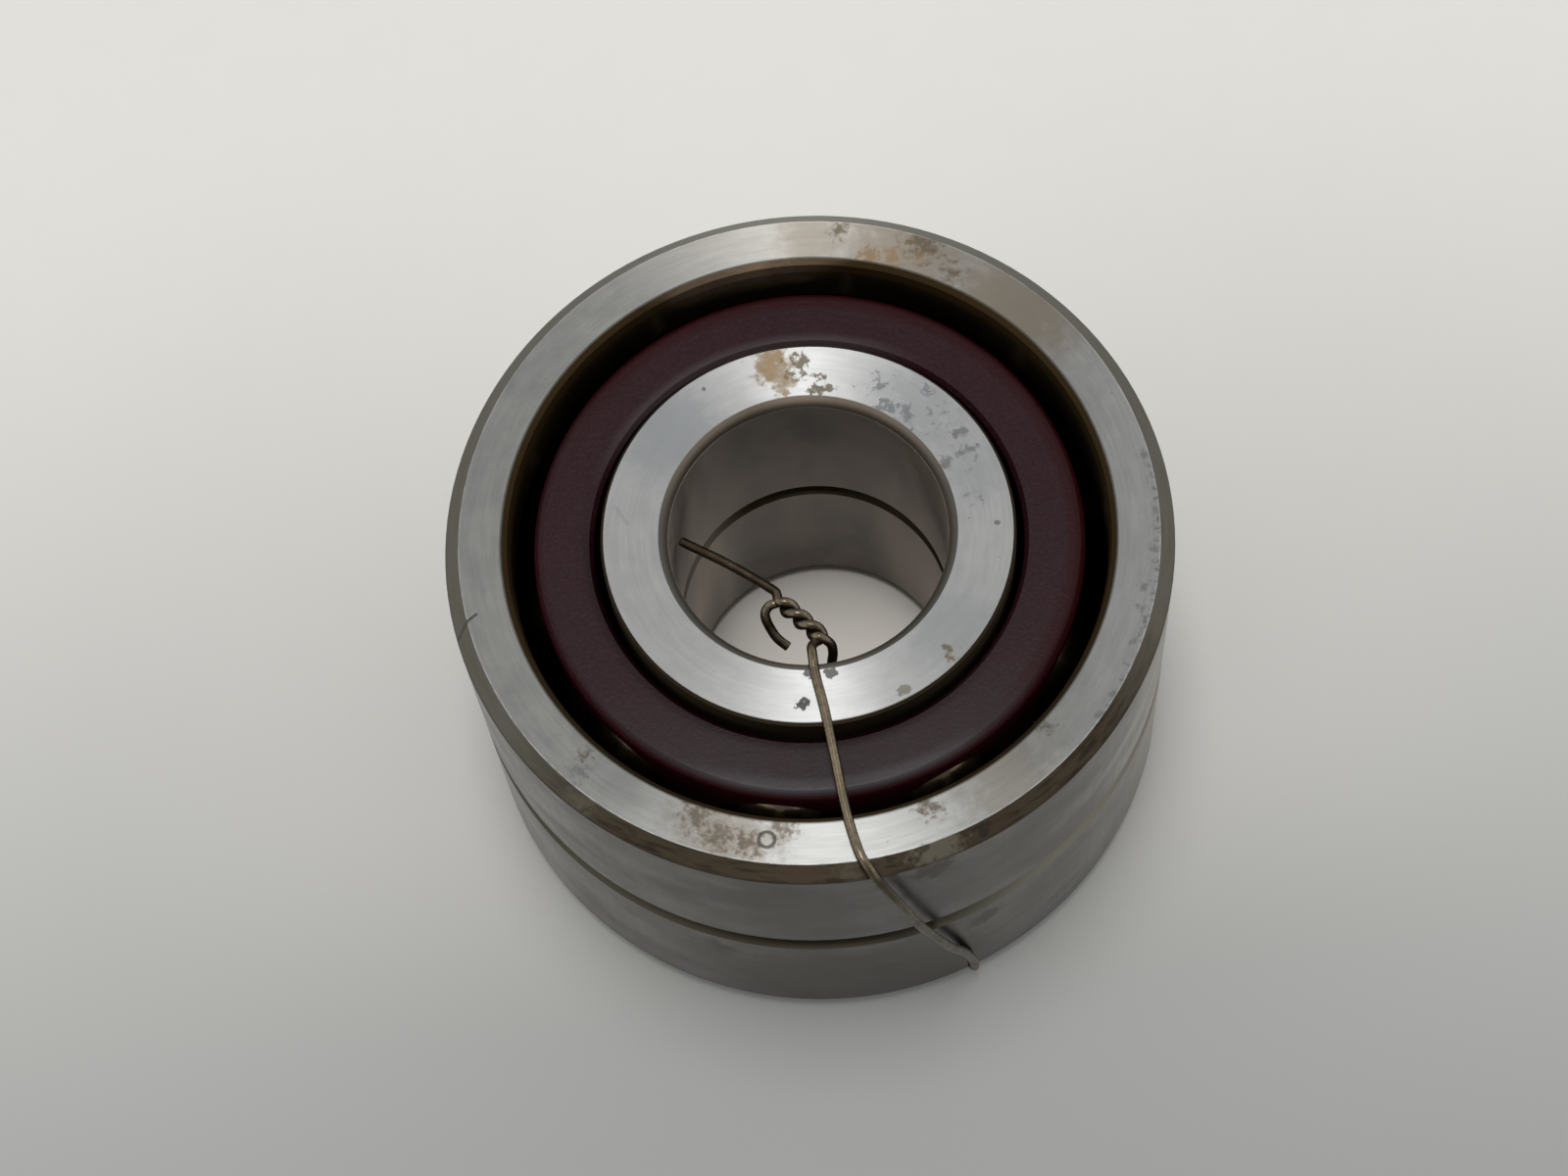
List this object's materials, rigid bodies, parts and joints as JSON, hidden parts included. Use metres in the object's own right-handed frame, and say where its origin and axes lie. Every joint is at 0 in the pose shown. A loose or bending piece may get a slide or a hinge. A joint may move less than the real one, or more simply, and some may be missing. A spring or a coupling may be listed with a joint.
{
  "type": "duplex angular-contact ball bearing pair",
  "caption": "Matched pair of angular-contact ball bearings with machined laminate cages, set face to face and tied for handling; locates a shaft radially and axially.",
  "frame": {"origin": "centre of the pair's bottom face, on the axis of the bore", "axes": "+Z along the bearing axis, from the lower bearing to the upper one; X and Y in the plane of the bottom faces"},
  "size_m": [0.052, 0.052, 0.03],
  "materials": {
    "outer_ring_steel": "ground bearing steel, lightly stained",
    "inner_ring_steel": "ground bearing steel, lightly pitted",
    "cage_laminate": "dark maroon cloth-filled phenolic, satin, oiled",
    "ball_steel": "polished bearing steel under an oil film"
  },
  "bodies": {
    "outer_rings": {"lower_outer_ring": "outer_ring_steel", "upper_outer_ring": "outer_ring_steel"},
    "lower_inner_ring": {"lower_inner_ring": "inner_ring_steel"},
    "lower_cage": {"lower_cage": "cage_laminate"},
    "lower_ball_1": {"lower_ball_1": "ball_steel"},
    "lower_ball_2": {"lower_ball_2": "ball_steel"},
    "lower_ball_3": {"lower_ball_3": "ball_steel"},
    "lower_ball_4": {"lower_ball_4": "ball_steel"},
    "lower_ball_5": {"lower_ball_5": "ball_steel"},
    "lower_ball_6": {"lower_ball_6": "ball_steel"},
    "lower_ball_7": {"lower_ball_7": "ball_steel"},
    "lower_ball_8": {"lower_ball_8": "ball_steel"},
    "lower_ball_9": {"lower_ball_9": "ball_steel"},
    "lower_ball_10": {"lower_ball_10": "ball_steel"},
    "upper_inner_ring": {"upper_inner_ring": "inner_ring_steel"},
    "upper_cage": {"upper_cage": "cage_laminate"},
    "upper_ball_1": {"upper_ball_1": "ball_steel"},
    "upper_ball_2": {"upper_ball_2": "ball_steel"},
    "upper_ball_3": {"upper_ball_3": "ball_steel"},
    "upper_ball_4": {"upper_ball_4": "ball_steel"},
    "upper_ball_5": {"upper_ball_5": "ball_steel"},
    "upper_ball_6": {"upper_ball_6": "ball_steel"},
    "upper_ball_7": {"upper_ball_7": "ball_steel"},
    "upper_ball_8": {"upper_ball_8": "ball_steel"},
    "upper_ball_9": {"upper_ball_9": "ball_steel"},
    "upper_ball_10": {"upper_ball_10": "ball_steel"}
  },
  "joints": [
    {"name": "lower_inner_ring_turn", "type": "hinge", "parent": "outer_rings", "child": "lower_inner_ring", "pos_m": [0, 0, 0.0075], "axis": [0, 0, 1], "continuous": true},
    {"name": "lower_cage_turn", "type": "hinge", "parent": "outer_rings", "child": "lower_cage", "pos_m": [0, 0, 0.0075], "axis": [0, 0, 1], "continuous": true},
    {"name": "lower_ball_1_roll", "type": "hinge", "parent": "lower_cage", "child": "lower_ball_1", "pos_m": [0.0179, 0.00188, 0.0075], "axis": [0.4203, 0.0442, 0.9063], "continuous": true},
    {"name": "lower_ball_2_roll", "type": "hinge", "parent": "lower_cage", "child": "lower_ball_2", "pos_m": [0.01338, 0.01204, 0.0075], "axis": [0.3141, 0.2828, 0.9063], "continuous": true},
    {"name": "lower_ball_3_roll", "type": "hinge", "parent": "lower_cage", "child": "lower_ball_3", "pos_m": [0.00374, 0.01761, 0.0075], "axis": [0.0879, 0.4134, 0.9063], "continuous": true},
    {"name": "lower_ball_4_roll", "type": "hinge", "parent": "lower_cage", "child": "lower_ball_4", "pos_m": [-0.00732, 0.01644, 0.0075], "axis": [-0.1719, 0.3861, 0.9063], "continuous": true},
    {"name": "lower_ball_5_roll", "type": "hinge", "parent": "lower_cage", "child": "lower_ball_5", "pos_m": [-0.01559, 0.009, 0.0075], "axis": [-0.366, 0.2113, 0.9063], "continuous": true},
    {"name": "lower_ball_6_roll", "type": "hinge", "parent": "lower_cage", "child": "lower_ball_6", "pos_m": [-0.0179, -0.00188, 0.0075], "axis": [-0.4203, -0.0442, 0.9063], "continuous": true},
    {"name": "lower_ball_7_roll", "type": "hinge", "parent": "lower_cage", "child": "lower_ball_7", "pos_m": [-0.01338, -0.01204, 0.0075], "axis": [-0.3141, -0.2828, 0.9063], "continuous": true},
    {"name": "lower_ball_8_roll", "type": "hinge", "parent": "lower_cage", "child": "lower_ball_8", "pos_m": [-0.00374, -0.01761, 0.0075], "axis": [-0.0879, -0.4134, 0.9063], "continuous": true},
    {"name": "lower_ball_9_roll", "type": "hinge", "parent": "lower_cage", "child": "lower_ball_9", "pos_m": [0.00732, -0.01644, 0.0075], "axis": [0.1719, -0.3861, 0.9063], "continuous": true},
    {"name": "lower_ball_10_roll", "type": "hinge", "parent": "lower_cage", "child": "lower_ball_10", "pos_m": [0.01559, -0.009, 0.0075], "axis": [0.366, -0.2113, 0.9063], "continuous": true},
    {"name": "upper_inner_ring_turn", "type": "hinge", "parent": "outer_rings", "child": "upper_inner_ring", "pos_m": [0, 0, 0.0225], "axis": [0, 0, 1], "continuous": true},
    {"name": "upper_cage_turn", "type": "hinge", "parent": "outer_rings", "child": "upper_cage", "pos_m": [0, 0, 0.0225], "axis": [0, 0, 1], "continuous": true},
    {"name": "upper_ball_1_roll", "type": "hinge", "parent": "upper_cage", "child": "upper_ball_1", "pos_m": [0.0179, 0.00188, 0.0225], "axis": [-0.4203, -0.0442, 0.9063], "continuous": true},
    {"name": "upper_ball_2_roll", "type": "hinge", "parent": "upper_cage", "child": "upper_ball_2", "pos_m": [0.01338, 0.01204, 0.0225], "axis": [-0.3141, -0.2828, 0.9063], "continuous": true},
    {"name": "upper_ball_3_roll", "type": "hinge", "parent": "upper_cage", "child": "upper_ball_3", "pos_m": [0.00374, 0.01761, 0.0225], "axis": [-0.0879, -0.4134, 0.9063], "continuous": true},
    {"name": "upper_ball_4_roll", "type": "hinge", "parent": "upper_cage", "child": "upper_ball_4", "pos_m": [-0.00732, 0.01644, 0.0225], "axis": [0.1719, -0.3861, 0.9063], "continuous": true},
    {"name": "upper_ball_5_roll", "type": "hinge", "parent": "upper_cage", "child": "upper_ball_5", "pos_m": [-0.01559, 0.009, 0.0225], "axis": [0.366, -0.2113, 0.9063], "continuous": true},
    {"name": "upper_ball_6_roll", "type": "hinge", "parent": "upper_cage", "child": "upper_ball_6", "pos_m": [-0.0179, -0.00188, 0.0225], "axis": [0.4203, 0.0442, 0.9063], "continuous": true},
    {"name": "upper_ball_7_roll", "type": "hinge", "parent": "upper_cage", "child": "upper_ball_7", "pos_m": [-0.01338, -0.01204, 0.0225], "axis": [0.3141, 0.2828, 0.9063], "continuous": true},
    {"name": "upper_ball_8_roll", "type": "hinge", "parent": "upper_cage", "child": "upper_ball_8", "pos_m": [-0.00374, -0.01761, 0.0225], "axis": [0.0879, 0.4134, 0.9063], "continuous": true},
    {"name": "upper_ball_9_roll", "type": "hinge", "parent": "upper_cage", "child": "upper_ball_9", "pos_m": [0.00732, -0.01644, 0.0225], "axis": [-0.1719, 0.3861, 0.9063], "continuous": true},
    {"name": "upper_ball_10_roll", "type": "hinge", "parent": "upper_cage", "child": "upper_ball_10", "pos_m": [0.01559, -0.009, 0.0225], "axis": [-0.366, 0.2113, 0.9063], "continuous": true}
  ],
  "couplings": [
    {"joint": "lower_cage_turn", "follows": "lower_inner_ring_turn", "ratio": 0.3901},
    {"joint": "lower_ball_1_roll", "follows": "lower_inner_ring_turn", "ratio": -1.962},
    {"joint": "lower_ball_2_roll", "follows": "lower_inner_ring_turn", "ratio": -1.962},
    {"joint": "lower_ball_3_roll", "follows": "lower_inner_ring_turn", "ratio": -1.962},
    {"joint": "lower_ball_4_roll", "follows": "lower_inner_ring_turn", "ratio": -1.962},
    {"joint": "lower_ball_5_roll", "follows": "lower_inner_ring_turn", "ratio": -1.962},
    {"joint": "lower_ball_6_roll", "follows": "lower_inner_ring_turn", "ratio": -1.962},
    {"joint": "lower_ball_7_roll", "follows": "lower_inner_ring_turn", "ratio": -1.962},
    {"joint": "lower_ball_8_roll", "follows": "lower_inner_ring_turn", "ratio": -1.962},
    {"joint": "lower_ball_9_roll", "follows": "lower_inner_ring_turn", "ratio": -1.962},
    {"joint": "lower_ball_10_roll", "follows": "lower_inner_ring_turn", "ratio": -1.962},
    {"joint": "upper_cage_turn", "follows": "upper_inner_ring_turn", "ratio": 0.3901},
    {"joint": "upper_ball_1_roll", "follows": "upper_inner_ring_turn", "ratio": -1.962},
    {"joint": "upper_ball_2_roll", "follows": "upper_inner_ring_turn", "ratio": -1.962},
    {"joint": "upper_ball_3_roll", "follows": "upper_inner_ring_turn", "ratio": -1.962},
    {"joint": "upper_ball_4_roll", "follows": "upper_inner_ring_turn", "ratio": -1.962},
    {"joint": "upper_ball_5_roll", "follows": "upper_inner_ring_turn", "ratio": -1.962},
    {"joint": "upper_ball_6_roll", "follows": "upper_inner_ring_turn", "ratio": -1.962},
    {"joint": "upper_ball_7_roll", "follows": "upper_inner_ring_turn", "ratio": -1.962},
    {"joint": "upper_ball_8_roll", "follows": "upper_inner_ring_turn", "ratio": -1.962},
    {"joint": "upper_ball_9_roll", "follows": "upper_inner_ring_turn", "ratio": -1.962},
    {"joint": "upper_ball_10_roll", "follows": "upper_inner_ring_turn", "ratio": -1.962}
  ]
}
